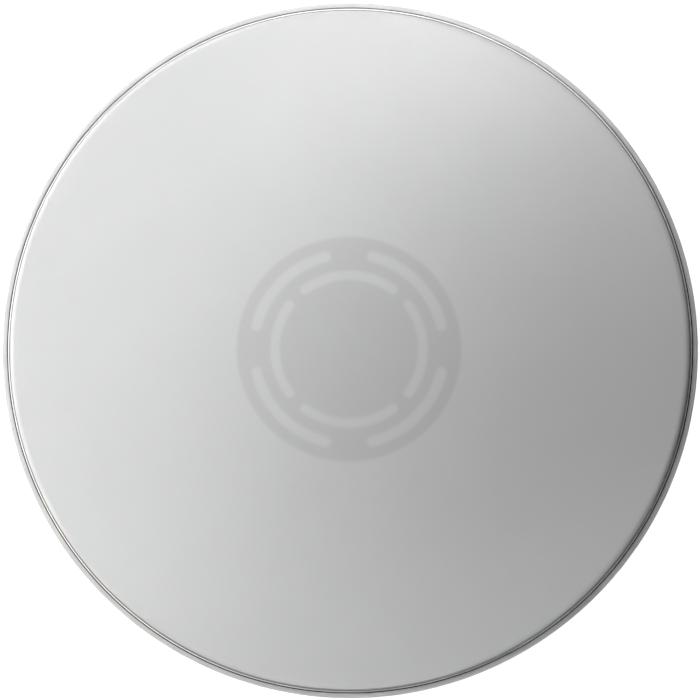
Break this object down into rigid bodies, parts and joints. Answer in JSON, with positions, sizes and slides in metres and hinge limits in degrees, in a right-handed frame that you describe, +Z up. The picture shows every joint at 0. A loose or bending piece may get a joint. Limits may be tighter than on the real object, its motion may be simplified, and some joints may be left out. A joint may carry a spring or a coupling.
{
  "type": "drum head",
  "caption": "Round coated drum head: laminated film with a flat crown and a steep collar, potted in an aluminium flesh hoop, with a slotted film dot under its middle.",
  "frame": {"origin": "centre of the hoop's base plane, on the head's axis", "axes": "+Z up through the playing surface, +X to the picture's right, +Y to the picture's top"},
  "size_m": [0.3689, 0.369, 0.0181],
  "materials": {
    "hoop": "roll-formed, satin",
    "resin": "cast epoxy, gloss",
    "film": "clear polyester film",
    "coating": "sprayed, fine stipple",
    "dot": "hazy polyester film"
  },
  "bodies": {
    "root": {"flesh_hoop": "hoop", "potting_resin": "resin", "upper_ply": "film", "lower_ply": "film", "surface_coating": "coating", "control_dot": "dot"}
  },
  "joints": []
}
